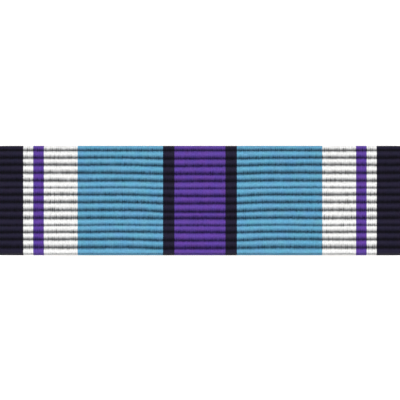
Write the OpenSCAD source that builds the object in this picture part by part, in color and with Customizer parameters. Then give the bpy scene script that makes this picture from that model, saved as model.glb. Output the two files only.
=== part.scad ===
// Ribbon bar. A ribbed ribbon, striped in its warp, is folded round a flat metal bar, and a metal
// back plate with two posts is bonded over its cut ends. A clutch on each post clamps the garment.
// It lies on its back: +X runs along the bar, +Y to the ribbon's top edge, +Z out of its face.
// The origin is the middle of the plane that the two clutches stand on. Lengths are millimetres.

/* [Stripes] */
// Width of the navy stripe along each selvedge
edge_navy_w = 2.075; // [1.4:0.025:4]
// Width of the outer white stripe, next to the navy edge
outer_white_w = 0.875; // [0.4:0.025:2]
// Width of the purple line in the white field
purple_line_w = 0.925; // [0.4:0.025:2]
// Width of the inner white stripe, next to the blue field
inner_white_w = 2.95; // [1:0.05:5]
// Width of each light blue field
blue_w = 7.45; // [5:0.05:12]
// Width of the navy line on each side of the centre
navy_line_w = 1; // [0.4:0.05:2]
// Width of the purple centre stripe
purple_centre_w = 4.45; // [2:0.05:8]

/* [Ribbon] */
// Height of the bar from fold to fold, over the ribs
bar_h = 9.58; // [8:0.01:16]
// Thickness of the cloth over the crest of a rib
cloth_t = 1; // [0.8:0.05:1.4]
// Distance from one rib to the next along the cloth
rib_pitch = 0.645; // [0.5:0.005:1]
// Radius of a rib's rounded back
rib_r = 0.33; // [0.2:0.01:0.38]
// Depth of the grooves between the ribs
rib_depth = 0.2; // [0.08:0.01:0.24]
// Height of the middle groove below the middle of the face
middle_groove = 0.13; // [0:0.01:0.3]
// Outside radius of the fold along the top and bottom edges
fold_r = 0.5; // [0.4:0.05:1.2]
// Gap between the two cut ends, behind the bar
seam_gap = 0.5; // [0.2:0.1:2]

/* [Core bar] */
// Thickness of the metal bar inside the ribbon
core_t = 0.8; // [0.5:0.1:1.5]
// Radius of the metal bar's long edges
core_edge_r = 0.2; // [0.1:0.05:0.24]
// How far the ribbon's selvedge stands past the bar's end
core_inset = 0.2; // [0:0.05:1]

/* [Back plate] */
// Thickness of the back plate
plate_t = 0.8; // [0.5:0.1:1.5]
// Margin of ribbon that shows along the plate's long edges
plate_margin = 1; // [0.5:0.1:2]
// Margin of ribbon that shows at the plate's ends
plate_end_margin = 0.9; // [0.5:0.1:2]
// Radius of the plate's corners
plate_corner_r = 1.2; // [0.5:0.1:2]

/* [Posts] */
// Radius of a post
post_r = 0.55; // [0.4:0.05:0.8]
// Length of a post's point
point_len = 1.2; // [0.5:0.1:2]
// Radius of the blunt end of the point
point_r = 0.12; // [0.08:0.01:0.25]
// Radius of the soldered foot of a post
foot_r = 1.5; // [1:0.1:2.5]
// Thickness of the soldered foot
foot_t = 0.4; // [0.2:0.1:0.8]
// Distance from the end of the plate to the axis of its post
post_inset = 3.9; // [3.8:0.05:7]

/* [Clutches] */
// Space for the garment between the plate and a clutch
garment_gap = 2; // [1:0.1:3]
// Radius of the disc that bears on the garment
disc_r = 4.3; // [3.5:0.1:4.4]
// Thickness of the disc
disc_t = 0.7; // [0.5:0.1:1.2]
// Radius of the cap over the point, at the disc
cap_r = 3.2; // [2.4:0.1:3.4]
// Height of the cap behind the disc
cap_h = 3.9; // [3.5:0.1:5]
// Radius that rounds the rim of the cap
cap_round_r = 0.9; // [0.3:0.1:1.2]
// Thickness of the cap's end, under the point of the post
cap_end_t = 0.7; // [0.4:0.1:1]

/* [Hidden] */
$fn = 64;

NAVY = [0.10, 0.09, 0.15];
WHITE = [0.93, 0.93, 0.92];
PURPLE = [0.33, 0.20, 0.58];
BLUE = [0.38, 0.66, 0.80];
BRASS = [0.80, 0.63, 0.30];

// Clearance between neighbouring pieces, and of a post in its clutch
fit_gap = 0.05;
// How far a cutter reaches past the solid that it cuts
past = 1;

// The warp's stripes on one side of the centre stripe, from the selvedge inwards
side_stripes = [
    // width, colour
    [edge_navy_w, NAVY],
    [outer_white_w, WHITE],
    [purple_line_w, PURPLE],
    [inner_white_w, WHITE],
    [blue_w, BLUE],
    [navy_line_w, NAVY],
];
// Width of the first n stripes of that list together
function stripes_w(n) = n == 0 ? 0 : side_stripes[n - 1][0] + stripes_w(n - 1);
ribbon_w = 2 * stripes_w(len(side_stripes)) + purple_centre_w;

// The bar inside the ribbon, and the ribbon round it
core_h = bar_h - 2 * (cloth_t + fit_gap);
core_w = ribbon_w - 2 * core_inset;
wrap_t = core_t + 2 * (cloth_t + fit_gap);

// Heights above the plane that the clutches stand on
clutch_h = cap_h + disc_t;
plate_z = clutch_h + garment_gap;
wrap_z = plate_z + plate_t + fit_gap;
core_z = wrap_z + cloth_t + fit_gap;

plate_w = ribbon_w - 2 * plate_end_margin;
plate_h = bar_h - 2 * plate_margin;
post_x = plate_w / 2 - post_inset;
post_len = plate_z - cap_end_t - fit_gap;

// The outline over the ribs' crests, from the middle of the face, round a fold, to the seam behind
face_half = bar_h / 2 - fold_r;
fold_arc = PI / 2 * fold_r;
side_len = wrap_t - 2 * fold_r;
outline_half = 2 * face_half + 2 * fold_arc + side_len;

// A point of that outline at the distance s from the middle of the face: [y, z, normal's angle].
// A positive s goes over the top fold and a negative one under the bottom fold.
function fold_point(y, z, a) = [y + fold_r * cos(a), z + fold_r * sin(a), a];
function upper_point(s) =
    let (
        front_fold = face_half,
        side = front_fold + fold_arc,
        back_fold = side + side_len,
        back = back_fold + fold_arc
    )
    s < front_fold ? [s, wrap_t, 90] :
    s < side ? fold_point(face_half, wrap_t - fold_r, 90 - (s - front_fold) / fold_r * 180 / PI) :
    s < back_fold ? [bar_h / 2, wrap_t - fold_r - (s - side), 0] :
    s < back ? fold_point(face_half, fold_r, -(s - back_fold) / fold_r * 180 / PI) :
    [face_half - (s - back), 0, -90];
function outline_point(s) =
    let (p = upper_point(abs(s)))
    s < 0 ? [-p[0], p[1], 180 - p[2]] : p;

// The middles of the ribs, as distances along the outline, clear of the two cut ends
rib_room = outline_half - seam_gap / 2 - rib_r;
first_rib = ceil((-rib_room + middle_groove) / rib_pitch - 0.5);
last_rib = floor((rib_room + middle_groove) / rib_pitch - 0.5);
rib_places = [for (k = [first_rib:last_rib]) (k + 0.5) * rib_pitch - middle_groove];

// A rectangle with true round corners, centred on y and standing on z = 0
module rounded_rectangle(w, h, r) {
    translate([r - w / 2, 0]) square([w - 2 * r, h]);
    translate([-w / 2, r]) square([w, h - 2 * r]);
    for (y = [r - w / 2, w / 2 - r], z = [r, h - r])
        translate([y, z]) circle(r);
}

// The flat metal bar that the ribbon is folded round
module core_bar() {
    color(BRASS)
        translate([-core_w / 2, 0, core_z])
            rotate([90, 0, 90])
                linear_extrude(core_w) rounded_rectangle(core_h, core_t, core_edge_r);
}

// The cloth's section across the bar: a ribbed sleeve, open at the seam behind
module ribbon_section() {
    difference() {
        union() {
            translate([0, rib_depth])
                rounded_rectangle(bar_h - 2 * rib_depth, wrap_t - 2 * rib_depth, fold_r - rib_depth);
            for (s = rib_places) {
                p = outline_point(s);
                translate([p[0] - rib_r * cos(p[2]), p[1] - rib_r * sin(p[2])]) circle(rib_r);
            }
        }
        translate([0, cloth_t])
            rounded_rectangle(core_h + 2 * fit_gap, core_t + 2 * fit_gap, core_edge_r + fit_gap);
        translate([-seam_gap / 2, -past]) square([seam_gap, past + cloth_t + fit_gap]);
    }
}

// One stripe of the woven ribbon, from x to x + w
module stripe(x, w, colour) {
    color(colour)
        translate([x, 0, wrap_z])
            rotate([90, 0, 90])
                linear_extrude(w) ribbon_section();
}

// The whole ribbon is one cloth, and its stripes are only the colours of its warp
module ribbon() {
    for (n = [0:len(side_stripes) - 1]) {
        w = side_stripes[n][0];
        stripe(-ribbon_w / 2 + stripes_w(n), w, side_stripes[n][1]);
        stripe(ribbon_w / 2 - stripes_w(n + 1), w, side_stripes[n][1]);
    }
    stripe(-purple_centre_w / 2, purple_centre_w, PURPLE);
}

// A post with its soldered foot, hanging down from z = 0, with its point below
module post() {
    mirror([0, 0, 1]) {
        cylinder(h = foot_t, r = foot_r);
        cylinder(h = post_len - point_len, r = post_r);
        translate([0, 0, post_len - point_len]) cylinder(h = point_len, r1 = post_r, r2 = point_r);
    }
}

// The plate over the ribbon's cut ends, with its two posts soldered on
module back_plate() {
    color(BRASS)
        translate([0, 0, plate_z]) {
            linear_extrude(plate_t)
                translate([0, -plate_h / 2]) rounded_rectangle(plate_w, plate_h, plate_corner_r);
            for (x = [-post_x, post_x])
                translate([x, 0, 0]) post();
        }
}

// Half of the clutch's section: the cap on the floor with a rounded rim, and the disc on top
module clutch_profile() {
    square([cap_r - cap_round_r, clutch_h]);
    translate([0, cap_round_r]) square([cap_r, clutch_h - cap_round_r]);
    translate([cap_r - cap_round_r, cap_round_r]) circle(cap_round_r);
    translate([0, cap_h]) square([disc_r - disc_t / 2, disc_t]);
    translate([disc_r - disc_t / 2, cap_h + disc_t / 2]) circle(disc_t / 2);
}

// A clutch, standing on the floor, with the blind hole that takes the post
module clutch() {
    color(BRASS)
        difference() {
            rotate_extrude() clutch_profile();
            translate([0, 0, cap_end_t]) cylinder(h = clutch_h, r = post_r + fit_gap);
        }
}

module clutch_left() {
    translate([-post_x, 0, 0]) clutch();
}

module clutch_right() {
    translate([post_x, 0, 0]) clutch();
}

core_bar();
ribbon();
back_plate();
clutch_left();
clutch_right();
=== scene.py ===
import math

import bpy
import numpy as np
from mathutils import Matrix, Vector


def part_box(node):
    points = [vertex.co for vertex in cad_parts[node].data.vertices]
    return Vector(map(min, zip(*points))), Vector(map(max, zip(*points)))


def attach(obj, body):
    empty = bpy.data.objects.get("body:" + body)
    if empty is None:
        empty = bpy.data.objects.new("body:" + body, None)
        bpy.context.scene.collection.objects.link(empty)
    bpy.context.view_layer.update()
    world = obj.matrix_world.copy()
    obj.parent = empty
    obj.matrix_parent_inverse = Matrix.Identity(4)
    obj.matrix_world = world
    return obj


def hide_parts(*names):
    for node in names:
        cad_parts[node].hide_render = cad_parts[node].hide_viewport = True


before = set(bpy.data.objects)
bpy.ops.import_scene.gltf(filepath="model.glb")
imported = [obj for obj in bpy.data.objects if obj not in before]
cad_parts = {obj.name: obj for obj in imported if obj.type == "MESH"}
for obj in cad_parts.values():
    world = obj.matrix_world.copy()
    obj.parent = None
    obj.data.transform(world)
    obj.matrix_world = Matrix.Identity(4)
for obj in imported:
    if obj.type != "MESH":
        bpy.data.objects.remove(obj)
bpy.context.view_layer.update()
mm = 0.001

# Core bar. A strip of rolled brass, cropped to length, that stiffens the ribbon. The ribbon is
# glued round it, so only its two cut ends show, between the cloth's edges.


def add_node(tree, kind, values=(), **settings):
    """A new node with these settings. Each socket in values is linked to an output, or set."""
    new = tree.nodes.new(kind)
    for name, value in settings.items():
        setattr(new, name, value)
    for socket, value in dict(values).items():
        if isinstance(value, bpy.types.NodeSocket):
            tree.links.new(value, new.inputs[socket])
        else:
            new.inputs[socket].default_value = value
    return new


def maths(tree, operation, *values, clamp=False):
    """The output of a Math node on these numbers or outputs."""
    values = enumerate(values)
    return add_node(tree, "ShaderNodeMath", values, operation=operation, use_clamp=clamp).outputs[0]


def vector_maths(tree, operation, *values):
    """The output of a Vector Math node on these vectors or outputs."""
    return add_node(tree, "ShaderNodeVectorMath", enumerate(values), operation=operation).outputs[0]


def mixed(tree, share, a, b):
    """The colour between a and b at that share."""
    return add_node(tree, "ShaderNodeMix", {0: share, 6: a, 7: b}, data_type="RGBA").outputs[2]


def noise(tree, place, scale, detail=3.0, roughness=0.6):
    """The value of a noise texture at that place."""
    values = {"Vector": place, "Scale": scale, "Detail": detail, "Roughness": roughness}
    return add_node(tree, "ShaderNodeTexNoise", values).outputs[0]


def ranged(tree, value, low, high, to_low=0.0, to_high=1.0):
    """Value, mapped from the range low to high and clamped to the other range."""
    values = {"Value": value, "From Min": low, "From Max": high, "To Min": to_low, "To Max": to_high}
    return add_node(tree, "ShaderNodeMapRange", values).outputs[0]


def new_group(name, inputs, outputs):
    """A node group with inputs {name: default} and outputs {name: kind}, and its inputs' sockets."""
    group = bpy.data.node_groups.new(name, "ShaderNodeTree")
    for socket, default in inputs.items():
        kind = {float: "Float", tuple: "Vector", list: "Color"}[type(default)]
        made = group.interface.new_socket(name=socket, in_out="INPUT", socket_type="NodeSocket" + kind)
        made.default_value = default
    for socket, kind in outputs.items():
        group.interface.new_socket(name=socket, in_out="OUTPUT", socket_type="NodeSocket" + kind)
    return group, group.nodes.new("NodeGroupInput").outputs


def fine_scratches(tree, place):
    """A mask of thin straight scratches, which run three ways and break off here and there."""
    # Noise is drawn out into lines, and only its highest crests are kept
    scratches = 0.0
    for turn in (0.2, 1.0, 2.3):
        turned = add_node(
            tree, "ShaderNodeVectorRotate", {"Vector": place, "Axis": (0.3, 0.5, 0.8), "Angle": turn}
        ).outputs[0]
        lines = noise(tree, vector_maths(tree, "MULTIPLY", turned, (0.25, 13.0, 9.0)), 1.0, 1.0)
        scratches = maths(tree, "MAXIMUM", scratches, ranged(tree, lines, 0.69, 0.73))
    unbroken = ranged(tree, noise(tree, place, 1.3, 2.0), 0.4, 0.6)
    return maths(tree, "MULTIPLY", scratches, unbroken)


def brass_surface_group():
    """Brass with a grain, stains, specks and scratches. Its two places are in millimetres."""
    inputs = {
        "Place": (0.0, 0.0, 0.0),
        "Grain Place": (0.0, 0.0, 0.0),
        "Polish": 0.0,
        "Grime": 0.0,
        "Bright": [0.63, 0.425, 0.155, 1.0],
        "Dull": [0.19, 0.105, 0.04, 1.0],
    }
    group, given = new_group(
        "brass_surface", inputs, {"Colour": "Color", "Roughness": "Float", "Normal": "Vector"}
    )
    # Tarnish lies in stains that polish takes off, in small specks, and where grime is given
    stains = ranged(group, noise(group, given["Place"], 0.9, 7.0, 0.7), 0.44, 0.72, 0.0, 0.5)
    stains = maths(group, "MULTIPLY", stains, maths(group, "SUBTRACT", 1.0, given["Polish"]))
    specks = ranged(group, noise(group, given["Place"], 11.0, 2.0), 0.6, 0.75, 0.0, 0.35)
    tarnish = maths(group, "ADD", maths(group, "ADD", stains, specks), given["Grime"], clamp=True)
    scratches = fine_scratches(group, given["Place"])
    grain = noise(group, given["Grain Place"], 1.0, 4.0, 0.7)

    # The roughness is the bright metal's, with what tarnish and grain add and polish takes off
    bright_roughness, tarnish_adds, grain_adds, polish_takes = 0.2, 0.34, 0.3, 0.08
    streaks = maths(group, "MULTIPLY", maths(group, "SUBTRACT", grain, 0.5), grain_adds)
    roughness = maths(group, "ADD", maths(group, "MULTIPLY", tarnish, tarnish_adds), bright_roughness)
    roughness = maths(group, "ADD", roughness, streaks)
    polished = maths(group, "MULTIPLY", given["Polish"], polish_takes)
    roughness = maths(group, "SUBTRACT", roughness, polished, clamp=True)

    # A scratch is bare metal, and lies a little below the grain
    scratch_bares, scratch_depth = 0.25, 0.9
    bared = maths(group, "MULTIPLY", scratches, scratch_bares)
    tarnish = maths(group, "SUBTRACT", tarnish, bared, clamp=True)
    height = maths(group, "SUBTRACT", grain, maths(group, "MULTIPLY", scratches, scratch_depth))
    bump = add_node(group, "ShaderNodeBump", {"Height": height, "Strength": 0.4, "Distance": 0.02 * mm})
    results = {
        "Colour": mixed(group, tarnish, given["Bright"], given["Dull"]),
        "Roughness": roughness,
        "Normal": bump.outputs[0],
    }
    add_node(group, "NodeGroupOutput", results)
    return group


brass_surface = brass_surface_group()


def in_millimetres(tree, centre=(0, 0, 0)):
    """Object coordinates in millimetres from a centre given in metres."""
    spot = add_node(tree, "ShaderNodeTexCoord").outputs["Object"]
    shift = [-c / mm for c in centre]
    return add_node(
        tree, "ShaderNodeMapping", {"Vector": spot, "Location": shift, "Scale": (1 / mm,) * 3}
    ).outputs[0]


def stretched_grain(stretch):
    """A way to lay the grain: its streaks are drawn out along the axes with a small number."""
    return lambda tree, place: vector_maths(tree, "MULTIPLY", place, stretch)


def brass(name, grain, centre=(0, 0, 0), polish=None, grime=None):
    """A brass finish. grain, polish and grime make the surface's inputs from the place in mm."""
    material = bpy.data.materials.new(name)
    material.use_nodes = True
    tree = material.node_tree
    place = in_millimetres(tree, centre)
    surface = add_node(tree, "ShaderNodeGroup", node_tree=brass_surface)
    tree.links.new(place, surface.inputs["Place"])
    tree.links.new(grain(tree, place), surface.inputs["Grain Place"])
    if polish:
        tree.links.new(polish(tree, place), surface.inputs["Polish"])
    if grime:
        tree.links.new(grime(tree, place), surface.inputs["Grime"])
    shader = tree.nodes["Principled BSDF"]
    shader.inputs["Metallic"].default_value = 1.0
    shader.inputs["Specular Tint"].default_value = (0.96, 0.9, 0.76, 1)
    tree.links.new(surface.outputs["Colour"], shader.inputs["Base Color"])
    tree.links.new(surface.outputs["Roughness"], shader.inputs["Roughness"])
    tree.links.new(surface.outputs["Normal"], shader.inputs["Normal"])
    return material


def give_finish(node, material):
    """Gives a node of the frame its material."""
    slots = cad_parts[node].data.materials
    slots.clear()
    slots.append(material)


give_finish("core_bar", brass("rolled_brass", stretched_grain((0.3, 9, 9))))

# Ribbon. A warp-faced ribbed ribbon: fine striped warp threads lie side by side over thick weft
# cords, and dive between them in the grooves. It is woven flat, then folded round the core bar
# with its two cut ends behind, and glued.
NAVY = (0.0108, 0.0090, 0.0216, 1)
WHITE = (0.590, 0.590, 0.587, 1)
PURPLE = (0.0775, 0.0362, 0.224, 1)
BLUE = (0.0875, 0.252, 0.381, 1)
# The warp from the middle of the ribbon outwards, the same on both sides
warp = [
    # width in mm, threads, colour
    (2.225, 12, PURPLE),
    (1.0, 5, NAVY),
    (7.45, 40, BLUE),
    (2.95, 16, WHITE),
    (0.925, 5, PURPLE),
    (0.875, 5, WHITE),
    (2.075, 11, NAVY),
]
# The grooves of the face from the top: how far each lies above its even place, how far it bows
# down in the middle of the ribbon and arches up in the blue fields, all in mm, and its width and
# depth as shares of the usual
face_grooves = {
    # groove: (shift, bow, arch, width, depth)
    7: (0.03, 0.02, 0.0, 1.45, 1),
    6: (-0.03, 0.055, 0.0, 1.0, 1),
    5: (0.0, 0.09, 0.0, 1.0, 1),
    4: (-0.05, 0.1, 0.0, 1.1, 1),
    3: (-0.08, 0.06, 0.02, 1.05, 1),
    2: (-0.055, 0.065, 0.01, 0.65, 0.9),
    1: (-0.02, 0.11, 0.01, 1.0, 1),
    0: (-0.03, 0.12, 0.0, 1.05, 1),
    -1: (-0.09, 0.12, 0.01, 1.1, 1),
    -2: (-0.12, 0.04, 0.02, 1.1, 1),
    -3: (-0.11, 0.01, 0.04, 0.65, 0.9),
    -4: (-0.065, 0.01, 0.04, 0.95, 1),
    -5: (-0.06, 0.085, 0.02, 1.0, 1),
    -6: (-0.11, 0.08, 0.015, 1.2, 1),
    -7: (-0.37, -0.03, 0.0, 1.2, 0.95),
}
# From one rib to the next, the place of groove 0 on the face, and the depth of a groove
rib_pitch = 0.645 * mm
middle_groove = -0.13 * mm
rib_depth = 0.2 * mm
# How far a rib slopes down into the groove under it, and into the one over it
lower_flank = 0.213 * mm
upper_flank = 0.107 * mm
# Radii of the folds outside and inside, the gap between the two cut ends, and the line of glue
outer_fold = 0.5 * mm
inner_fold = 0.25 * mm
seam = 0.5 * mm
glue = 0.05 * mm
# How far the selvedges bulge at the ribs, and the share of it that is lost in the grooves
selvedge_bulge = 0.1 * mm
bulge_lost = 0.35
# The grooves are square to the face to this depth
skin_t = 0.25 * mm

core_low, core_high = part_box("core_bar")
ribbon_low, ribbon_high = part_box("ribbon")
cloth_t = ribbon_high.z - core_high.z - glue
half_h = ribbon_high.y

# Distances along the cloth, from the middle of the face, at which the face, the first fold, the
# side, the second fold and the back end
fold_len = math.pi / 2 * outer_fold
side_len = ribbon_high.z - ribbon_low.z - 2 * outer_fold
ends = np.cumsum([0, half_h - outer_fold, fold_len, side_len, fold_len, half_h - outer_fold - seam / 2])
cut_end = ends[-1]


def outline(turn, half, radius, front, back):
    """Points y and z of a round-cornered outline. turn counts its face, fold, side, fold and back."""
    face, first, side, second, behind = (np.clip(np.abs(turn) - n, 0, 1) for n in range(5))
    quarter = math.pi / 2
    y = (half - radius) * (face - behind) + seam / 2 * behind
    y += radius * (np.sin(quarter * first) + np.cos(quarter * second) - 1)
    z = front - radius * (1 - np.cos(quarter * first)) - (front - back - 2 * radius) * side
    z -= radius * np.sin(quarter * second)
    return y * np.sign(turn), z


def fold_round_bar(x, along, depth):
    """Where points of the flat cloth come to lie. depth is how far each is below the ribs' crests."""
    turn = np.interp(np.abs(along), ends, range(6)) * np.sign(along)
    skin = np.minimum(depth, skin_t)
    high, low = ribbon_high.z - skin, ribbon_low.z + skin
    outer = outline(turn, half_h - skin, outer_fold - skin, high, low)
    inner = outline(turn, core_high.y + glue, inner_fold, core_high.z + glue, core_low.z - glue)
    y, z = (o + (i - o) * (depth - skin) / (cloth_t - skin_t) for o, i in zip(outer, inner))
    return np.stack([x, y, z], axis=-1)


# The mesh has two columns for each thread, at its side and its middle. The first and last few
# columns go down the selvedges, through the thickness of the cloth.
half_places = [0.0]
for stripe_w, threads, _ in warp:
    half_places.extend(half_places[-1] + stripe_w / (2 * threads) * np.arange(1, 2 * threads + 1))
half_places = np.array(half_places) * mm
places = np.concatenate([-half_places[:0:-1], half_places])
down_selvedge = np.array([0.08, 0.35, 0.65, 0.92, 1.0])
x = np.pad(places, len(down_selvedge), mode="edge")
wall = np.concatenate([down_selvedge[::-1], np.zeros(len(places)), down_selvedge])
from_middle = np.arange(len(x)) - len(x) // 2
thread = from_middle / 2
beside_thread = from_middle % 2 == 0

# Eight rows to a rib, and fewer behind the bar. A groove that isn't on the face has a small shift
# and a width by chance, and a slight bow.
chance = np.random.default_rng(7)
first = math.ceil((-cut_end - middle_groove) / rib_pitch) - 1
last = math.floor((cut_end - middle_groove) / rib_pitch) + 1
grooves = np.arange(first, last + 1)
traits = [
    face_grooves.get(k, (chance.normal(0, 0.025), 0.05, 0.0, chance.uniform(0.8, 1.15), 1))
    for k in grooves.tolist()
]
shift, bow, arch, width, depth_share = np.array(traits).T[:, :, None]
face_steps = (0.0, 0.09, 0.19, 0.3, 0.45, 0.64, 0.79, 0.9)
back_steps = (0.0, 0.2, 0.5, 0.8)
rows = []
last_row = cut_end - 0.2 * rib_pitch
for number, k in enumerate(grooves[:-1]):
    middle_of_rib = middle_groove + (k + 0.5) * rib_pitch
    for step in face_steps if abs(middle_of_rib) < ends[4] + rib_pitch else back_steps:
        if abs(middle_groove + (k + step) * rib_pitch) < last_row:
            rows.append((number, step))
rib = np.array([number for number, _ in rows])
step = np.array([step for _, step in rows])[:, None]

# Where each groove runs, column by column. It bows down round the middle of the ribbon, arches up
# in each blue field, and wanders in waves of three lengths.
bow_reach, bow_slope = 6.4 * mm, 4.2 * mm
arch_middle, arch_reach = 7 * mm, 3.6 * mm
bowed = np.clip((bow_reach - np.abs(x)) / bow_slope, 0, 1)
bowed = bowed * bowed * (3 - 2 * bowed)
arched = np.clip(1 - np.abs(np.abs(x) - arch_middle) / arch_reach, 0, 1)
arched = arched * arched * (3 - 2 * arched)
waves = ((21 * mm, 0.012 * mm), (9 * mm, 0.008 * mm), (4.3 * mm, 0.005 * mm))
wander = sum(
    chance.uniform(0.4, 1.0, (len(grooves), 1)) * size
    * np.cos(2 * math.pi * (x / length + chance.uniform(0, 1, (len(grooves), 1))))
    for length, size in waves
)


def each_thread(spread, steady=0.0):
    """A value for each groove and thread, which has a random and an alternating share."""
    turns = (-1.0) ** (np.floor(thread) + grooves[:, None])
    values = spread * chance.normal(0, 1, turns.shape) + steady * turns
    halfway = (np.roll(values, 1, axis=1) + np.roll(values, -1, axis=1)) / 2
    return np.where(beside_thread, halfway, values)


# Each thread dives through a groove a little above or below its neighbours, and stops short of
# the full depth by its own small share
thread_shift = 0.006 * mm
thread_lift = 0.035
runs = middle_groove + rib_pitch * grooves[:, None] + (shift - bow * bowed + arch * arched) * mm
runs = runs + wander + each_thread(thread_shift, thread_shift)
strength = np.clip(1 - np.abs(each_thread(thread_lift)), 0.4, 1)
# The gaps between threads make the grooves wider there, each by its own share
gap_widens, width_varies = 0.08, 0.045
spread = width + gap_widens * beside_thread + chance.normal(0, width_varies, runs.shape)

# How deep the cloth lies at each row and column. A rib is highest along its middle, and a little
# lower between its threads.
flank_power = 2.4
crown_drop = 0.02 * mm
thread_drop = 0.01 * mm
along = runs[rib] * (1 - step) + runs[rib + 1] * step
under = np.exp(-(((along - runs[rib]) / (lower_flank * spread[rib])) ** flank_power))
over = np.exp(-(((runs[rib + 1] - along) / (upper_flank * spread[rib + 1])) ** flank_power))
strength = strength * depth_share
groove = np.maximum(under * strength[rib], over * strength[rib + 1])
crown = crown_drop * (2 * step - 1) ** 2 + thread_drop * beside_thread
depth = rib_depth * groove + crown * (1 - groove)

# A row for each cut end comes first and last
along = np.vstack([np.full(len(x), -cut_end), along, np.full(len(x), cut_end)])
depth = np.pad(depth, ((1, 1), (0, 0)), mode="edge")
groove = np.pad(groove, ((1, 1), (0, 0)), mode="edge")
rib_place = np.concatenate([[0], rib + step[:, 0], [len(grooves) - 1]])

# The weft cords turn back in each selvedge, which bulges at the ribs
depth = depth + (cloth_t - depth) * wall
across = x + np.sign(x) * selvedge_bulge * 2 * np.sqrt(wall * (1 - wall)) * (1 - bulge_lost * groove)
groove = groove * (1 - wall)

bpy.ops.object.select_all(action="DESELECT")
bpy.ops.mesh.primitive_grid_add(x_subdivisions=len(x) - 1, y_subdivisions=len(rib_place) - 1, size=1)
ribbon = bpy.context.object
ribbon.name = ribbon.data.name = "woven_ribbon"


def read_points(mesh):
    """The mesh's vertices, a row of x, y and z for each."""
    flat = np.zeros(len(mesh.vertices) * 3, np.float32)
    mesh.vertices.foreach_get("co", flat)
    return flat.reshape(-1, 3).astype(float)


def move_points(mesh, spots):
    """Moves the mesh's vertices to these places."""
    mesh.vertices.foreach_set("co", spots.ravel().astype(np.float32))
    mesh.update()


def keep_value(mesh, name, kind, field, values):
    """Keeps a value at each vertex, for the material to read."""
    mesh.attributes.new(name, kind, "POINT").data.foreach_set(field, values.ravel().astype(np.float32))


grid = read_points(ribbon.data)
column = np.rint((grid[:, 0] + 0.5) * (len(x) - 1)).astype(int)
row = np.rint((grid[:, 1] + 0.5) * (len(rib_place) - 1)).astype(int)
move_points(ribbon.data, np.stack([across[row, column], along[row, column], -depth[row, column]], axis=-1))
weave_place = np.stack([thread[column], rib_place[row], wall[column]], axis=-1)
keep_value(ribbon.data, "weave_place", "FLOAT_VECTOR", "vector", weave_place)
# The groove's depth share, which the material also turns into painted shade and painted bounce light
keep_value(ribbon.data, "groove", "FLOAT", "value", groove[row, column])

# The back of the cloth is bridged from selvedge to selvedge, and the two cut ends are closed
edge_ends = np.zeros(len(ribbon.data.edges) * 2, int)
ribbon.data.edges.foreach_get("vertices", edge_ends)
edge_columns = column[edge_ends.reshape(-1, 2)]
on_selvedge = np.all(edge_columns == 0, axis=1) | np.all(edge_columns == len(x) - 1, axis=1)
bpy.ops.object.mode_set(mode="EDIT")
bpy.ops.mesh.select_mode(type="EDGE")
bpy.ops.mesh.select_all(action="DESELECT")
bpy.ops.object.mode_set(mode="OBJECT")
ribbon.data.edges.foreach_set("select", on_selvedge)
bpy.ops.object.mode_set(mode="EDIT")
bpy.ops.mesh.bridge_edge_loops()
bpy.ops.mesh.select_all(action="DESELECT")
bpy.ops.mesh.select_non_manifold(extend=False)
bpy.ops.mesh.edge_face_add()
bpy.ops.mesh.select_all(action="SELECT")
bpy.ops.mesh.normals_make_consistent(inside=False)
bpy.ops.object.mode_set(mode="OBJECT")

flat_cloth = read_points(ribbon.data)
move_points(ribbon.data, fold_round_bar(flat_cloth[:, 0], flat_cloth[:, 1], -flat_cloth[:, 2]))
bpy.ops.object.shade_smooth_by_angle(angle=math.radians(70))


def stripe_colour(tree):
    """The warp's colour by the distance from the middle of the ribbon."""
    place = in_millimetres(tree)
    aside = maths(tree, "ABSOLUTE", add_node(tree, "ShaderNodeSeparateXYZ", {0: place}).outputs[0])
    colour = warp[0][2]
    border = 0.0
    for (stripe_w, _, _), (_, _, next_colour) in zip(warp, warp[1:]):
        border += stripe_w
        colour = mixed(tree, maths(tree, "GREATER_THAN", aside, border), colour, next_colour)
    return colour


def scaled(tree, vector, factor):
    """The vector or colour times the factor."""
    values = {0: vector, "Scale": factor}
    return add_node(tree, "ShaderNodeVectorMath", values, operation="SCALE").outputs[0]


def weave_noise(tree, weave, stretch, detail):
    """Noise that is stretched along and across the threads."""
    return noise(tree, vector_maths(tree, "MULTIPLY", weave, stretch), 1.0, detail)


def yarn_tone_and_fold_light(tree, weave, thread_place, fibres):
    """How light the yarn is: by thread, fibre and slub, and with light painted along the upper fold."""
    thread_number = maths(tree, "FLOOR", thread_place)
    by_thread = add_node(
        tree, "ShaderNodeTexWhiteNoise", {"W": thread_number}, noise_dimensions="1D"
    ).outputs["Value"]
    slubs = weave_noise(tree, weave, (1.1, 2.6, 1.0), 0.0)
    tone = 1.0
    for value, share in ((by_thread, 0.03), (fibres, 0.65), (slubs, 0.2)):
        change = maths(tree, "MULTIPLY", maths(tree, "SUBTRACT", value, 0.5), share)
        tone = maths(tree, "ADD", tone, change)
    # The band of light painted along the upper fold, in millimetres: how far in from the fold's edge it
    # starts and is full, the heights at which it starts and is full, and how much paler it is
    inner_start, inner_full, low_start, high_full, paler_by = 0.24, 0.04, 9.2, 9.9, 0.25
    fold_y = half_h / mm
    spot = add_node(tree, "ShaderNodeSeparateXYZ", {0: in_millimetres(tree)})
    near_edge = ranged(tree, spot.outputs[1], fold_y - inner_start, fold_y - inner_full)
    painted_fold_light = ranged(tree, spot.outputs[2], low_start, high_full, 0.0, paler_by)
    return maths(tree, "ADD", tone, maths(tree, "MULTIPLY", near_edge, painted_fold_light))


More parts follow.
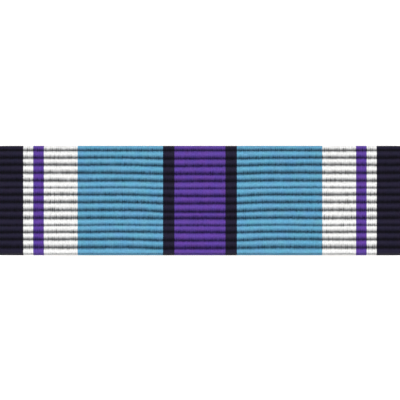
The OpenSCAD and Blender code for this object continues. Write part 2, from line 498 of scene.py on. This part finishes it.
def groove_with_shaded_gaps(tree, weave, thread_place, in_groove, dyed):
    """The grooves' mask, with painted shade in ticks between the threads down the flanks of the ribs."""
    # Each tick of painted shade has its own strength. They show most on undyed threads.
    numbers = vector_maths(tree, "FLOOR", vector_maths(tree, "ADD", weave, (0.5, 0.5, 0.0)))
    tick = add_node(tree, "ShaderNodeTexWhiteNoise", {"Vector": numbers}, noise_dimensions="2D").outputs[0]
    faintest, strongest, usual = 0.26, 0.94, 0.38
    tick = ranged(tree, tick, 0.0, 1.0, faintest, strongest)
    half_turns = maths(tree, "MULTIPLY", thread_place, math.pi)
    between = maths(tree, "ABSOLUTE", maths(tree, "COSINE", half_turns))
    between = maths(tree, "SUBTRACT", maths(tree, "MULTIPLY", between, tick), usual)
    flank = maths(tree, "MULTIPLY", in_groove, maths(tree, "SUBTRACT", 1.0, in_groove))
    flank = maths(tree, "MULTIPLY", flank, ranged(tree, dyed, 0.0, 0.5, 2.0, 1.35))
    return maths(tree, "ADD", in_groove, maths(tree, "MULTIPLY", flank, between), clamp=True)


def groove_shade(tree, weave, in_groove):
    """Painted shade in the grooves: the share of light left in the colour, darker in flecks."""
    steepness, darkest = 1.3, 0.93
    painted_darkness = maths(tree, "MULTIPLY", maths(tree, "POWER", in_groove, steepness), darkest)
    flecks = ranged(tree, weave_noise(tree, weave, (2.2, 3.0, 1.0), 1.0), 0.2, 0.8, 1.14, 0.86)
    painted_darkness = maths(tree, "MULTIPLY", painted_darkness, flecks)
    return maths(tree, "SUBTRACT", 1.0, painted_darkness, clamp=True)


def dyed_yarn_and_bounce(tree, weave, yarn, dyed, lightness, in_groove):
    """The yarn's colour, unevenly dyed, and fuller deep in the grooves with painted bounce light."""
    dye_varies = (0.6, 0.31, 0.31)
    bounce_power, bounce_share = 2.5, 0.42
    place = vector_maths(tree, "MULTIPLY", weave, (0.2, 0.7, 0.0))
    dye = add_node(tree, "ShaderNodeTexNoise", {"Vector": place, "Scale": 1.0}).outputs["Color"]
    dye = vector_maths(tree, "SUBTRACT", dye, (0.5, 0.5, 0.5))
    dye = vector_maths(tree, "MULTIPLY", dye, dye_varies)
    deep = maths(tree, "MULTIPLY", maths(tree, "POWER", in_groove, bounce_power), bounce_share)
    bounce = maths(tree, "DIVIDE", maths(tree, "MULTIPLY", dyed, deep), lightness)
    change = vector_maths(tree, "ADD", scaled(tree, dye, dyed), scaled(tree, yarn, bounce))
    return vector_maths(tree, "MULTIPLY", yarn, vector_maths(tree, "ADD", change, (1.0, 1.0, 1.0)))


def ribbon_finish():
    """Striped matt threads of slightly different shades, with shade painted into the grooves and between
    the threads, bounce light painted deep in the grooves, and light painted along the upper fold.
    """
    material = bpy.data.materials.new("striped_rib_weave")
    material.use_nodes = True
    tree = material.node_tree
    weave = add_node(tree, "ShaderNodeAttribute", attribute_name="weave_place").outputs["Vector"]
    in_groove = add_node(tree, "ShaderNodeAttribute", attribute_name="groove").outputs["Fac"]
    thread_place = add_node(tree, "ShaderNodeSeparateXYZ", {0: weave}).outputs[0]
    fibres = weave_noise(tree, weave, (2.1, 4.5, 1.0), 1.0)
    yarn = stripe_colour(tree)
    _, dyed, lightness = add_node(tree, "ShaderNodeSeparateColor", {0: yarn}, mode="HSV").outputs

    # Shade is painted into the grooves and between the threads, and light along the upper fold
    in_groove = groove_with_shaded_gaps(tree, weave, thread_place, in_groove, dyed)
    light = maths(
        tree,
        "MULTIPLY",
        groove_shade(tree, weave, in_groove),
        yarn_tone_and_fold_light(tree, weave, thread_place, fibres),
    )
    colour = scaled(tree, dyed_yarn_and_bounce(tree, weave, yarn, dyed, lightness, in_groove), light)
    shader = tree.nodes["Principled BSDF"]
    tree.links.new(colour, shader.inputs["Base Color"])

    # Each thread is of two strands, and its fibres stand out a little
    fibre_height = 0.8
    turns = maths(tree, "MULTIPLY", thread_place, 2 * math.pi)
    strands = maths(tree, "ABSOLUTE", maths(tree, "SINE", turns))
    height = maths(tree, "ADD", strands, maths(tree, "MULTIPLY", fibres, fibre_height))
    bump = add_node(tree, "ShaderNodeBump", {"Height": height, "Strength": 0.5, "Distance": 0.012 * mm})
    tree.links.new(bump.outputs[0], shader.inputs["Normal"])
    shader.inputs["Roughness"].default_value = 0.8
    shader.inputs["Specular IOR Level"].default_value = 0.06
    shader.inputs["Sheen Weight"].default_value = 0.03
    return material


ribbon.data.materials.append(ribbon_finish())
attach(ribbon, "root")
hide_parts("ribbon")

# Back plate. Brass sheet, pressed to shape and bonded over the ribbon's cut ends. Its two pointed
# posts stand on round feet that are soldered to it.
plate_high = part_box("back_plate")[1]
edge_round = 0.08 * mm
# Widths and radii for the finish, in millimetres as its places are
rubbed_w = 0.5
foot_radius = 1.5
foot_grime_w = 0.6
cloth_grime_w = 0.25
disc_radius = 4.3


def rubbed_edges(tree, place):
    """Bright along the plate's edges, where it rubs on cloth and fingers."""
    reach = add_node(tree, "ShaderNodeSeparateXYZ", {0: vector_maths(tree, "ABSOLUTE", place)})
    past_end = maths(tree, "SUBTRACT", reach.outputs[0], plate_high.x / mm - rubbed_w)
    past_side = maths(tree, "SUBTRACT", reach.outputs[1], plate_high.y / mm - rubbed_w)
    brightens = 1.6
    return maths(tree, "MULTIPLY", maths(tree, "MAXIMUM", past_end, past_side), brightens, clamp=True)


def plate_corners(tree, place):
    """Dark flux and dirt round the soldered feet, and under the cloth along the plate's upper edge."""
    post_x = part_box("clutch_right")[0].x / mm + disc_radius
    plate_top = plate_high.z / mm
    reach = add_node(tree, "ShaderNodeSeparateXYZ", {0: vector_maths(tree, "ABSOLUTE", place)})
    aside = maths(tree, "SUBTRACT", reach.outputs[0], post_x)
    spot = add_node(tree, "ShaderNodeCombineXYZ", {0: aside, 1: reach.outputs[1]}).outputs[0]
    radius = add_node(tree, "ShaderNodeVectorMath", {0: spot}, operation="LENGTH").outputs["Value"]
    ring = maths(tree, "ABSOLUTE", maths(tree, "SUBTRACT", radius, foot_radius))
    ring = ranged(tree, ring, 0.0, foot_grime_w, 0.8, 0.0)
    under_cloth = ranged(tree, reach.outputs[2], plate_top - cloth_grime_w, plate_top, 0.0, 0.7)
    return maths(tree, "MAXIMUM", ring, under_cloth)


give_finish(
    "back_plate",
    brass("pressed_brass", stretched_grain((0.25, 7, 7)), polish=rubbed_edges, grime=plate_corners),
)

# The press leaves the plate's edges slightly round
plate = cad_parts["back_plate"]
plate.modifiers.new("joined", "WELD").merge_threshold = 0.001 * mm
rounding = plate.modifiers.new("pressed_edge", "BEVEL")
rounding.width = edge_round
rounding.segments = 2
rounding.angle_limit = math.radians(50)
rounding.harden_normals = True

# Clutches. Each is drawn from thin brass: a cap over the post's point, and a disc that bears on
# the garment. They are pushed on the two posts. Their sizes here are in millimetres, for the finish.
cap_radius = 3.2
cap_height = 3.9
hole_radius = 0.6
clutch_height = 4.6


def radius_and_height(tree, place):
    """How far a place is from the clutch's axis and from the surface that it stands on."""
    split = add_node(tree, "ShaderNodeSeparateXYZ", {0: place})
    flat = add_node(tree, "ShaderNodeCombineXYZ", {0: split.outputs[0], 1: split.outputs[1]}).outputs[0]
    radius = add_node(tree, "ShaderNodeVectorMath", {0: flat}, operation="LENGTH").outputs["Value"]
    return radius, split.outputs[2]


def turned_grain(tree, place):
    """Fine rings round the clutch's axis."""
    radius, height = radius_and_height(tree, place)
    ring_scale, band_scale = 7.0, 9.0
    rings = {
        0: maths(tree, "MULTIPLY", radius, ring_scale),
        1: maths(tree, "MULTIPLY", height, band_scale),
    }
    return add_node(tree, "ShaderNodeCombineXYZ", rings).outputs[0]


def rubbed_rims(tree, place):
    """Bright round the disc's rim and the cap's rounded end."""
    radius, height = radius_and_height(tree, place)
    rim_starts, rim_full, end_full, end_stops = 0.5, 0.1, 0.2, 1.1
    rim = ranged(tree, radius, disc_radius - rim_starts, disc_radius - rim_full)
    end = ranged(tree, height, end_full, end_stops, 0.9, 0.0)
    return maths(tree, "MAXIMUM", rim, end)


def clutch_corners(tree, place):
    """Dark where the disc meets the cap, and round the hole for the post."""
    radius, height = radius_and_height(tree, place)
    by_cap = ranged(tree, radius, cap_radius, cap_radius + 0.9, 1.0, 0.0)
    up_to_disc = ranged(tree, height, cap_height - 0.8, cap_height)
    below_disc = ranged(tree, height, cap_height + 0.02, cap_height + 0.1, 0.75, 0.0)
    corner = maths(tree, "MULTIPLY", maths(tree, "MULTIPLY", by_cap, up_to_disc), below_disc)
    by_hole = ranged(tree, radius, hole_radius + 0.1, hole_radius + 1.2, 0.9, 0.0)
    on_top = ranged(tree, height, clutch_height - 0.2, clutch_height - 0.1)
    return maths(tree, "MAXIMUM", corner, maths(tree, "MULTIPLY", by_hole, on_top))


for clutch in ("clutch_left", "clutch_right"):
    clutch_low, clutch_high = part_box(clutch)
    axis = ((clutch_low.x + clutch_high.x) / 2, 0, 0)
    give_finish(clutch, brass("drawn_brass_" + clutch, turned_grain, axis, rubbed_rims, clutch_corners))

# Studio. A white paper floor that glows a little, as on a light table, a lamp straight above the
# face, a soft light from the upper left, and a pale surround that is darker near the horizon. The
# camera looks straight down on the face.
bpy.ops.object.select_all(action="DESELECT")
bpy.ops.mesh.primitive_plane_add(size=3, location=(0, 0, 0))
floor = bpy.context.object
floor.name = "floor"
paper = bpy.data.materials.new("white_paper")
paper.use_nodes = True
paper_shader = paper.node_tree.nodes["Principled BSDF"]
paper_shader.inputs["Base Color"].default_value = (0.7, 0.7, 0.7, 1)
paper_shader.inputs["Emission Color"].default_value = (1, 1, 1, 1)
paper_shader.inputs["Emission Strength"].default_value = 0.33
paper_shader.inputs["Roughness"].default_value = 0.9
floor.data.materials.append(paper)

surround = bpy.data.worlds.new("pale_surround")
surround.use_nodes = True
surround_tree = surround.node_tree
sky_direction = add_node(surround_tree, "ShaderNodeTexCoord").outputs["Generated"]
sky_height = add_node(surround_tree, "ShaderNodeSeparateXYZ", {0: sky_direction}).outputs[2]
horizon_light, overhead_light = 0.2, 0.725
sky_strength = ranged(surround_tree, sky_height, 0.0, 1.0, horizon_light, overhead_light)
surround_tree.nodes["Background"].inputs["Color"].default_value = (1, 1, 1, 1)
surround_tree.links.new(sky_strength, surround_tree.nodes["Background"].inputs["Strength"])
bpy.context.scene.world = surround


def softbox(name, place, size, power):
    """A square area light at place, aimed at the middle of the bar."""
    lamp = bpy.data.lights.new(name, "AREA")
    lamp.size = size
    lamp.energy = power
    box = bpy.data.objects.new(name, lamp)
    bpy.context.scene.collection.objects.link(box)
    box.location = place
    box.rotation_euler = box.location.to_track_quat("Z", "Y").to_euler()


softbox("top_light", (0, 0, 0.7), 0.12, 4.97)
softbox("side_light", (-0.35, 0.35, 0.45), 0.4, 1.2)

# The photo's width, its scale, and where it has the middle of the bar
photo_px = 400
px_per_mm = 11.46
bar_middle_px = (199.95, 200.56)
frame_w = photo_px / px_per_mm * mm
lens = bpy.data.cameras.new("camera")
lens.lens = 600
lens.clip_start = 0.01
camera = bpy.data.objects.new("camera", lens)
bpy.context.scene.collection.objects.link(camera)
camera.location = (
    (photo_px / 2 - bar_middle_px[0]) / px_per_mm * mm,
    (bar_middle_px[1] - photo_px / 2) / px_per_mm * mm,
    ribbon_high.z + frame_w * lens.lens / lens.sensor_width,
)
bpy.context.scene.camera = camera
bpy.context.scene.view_settings.view_transform = "Standard"
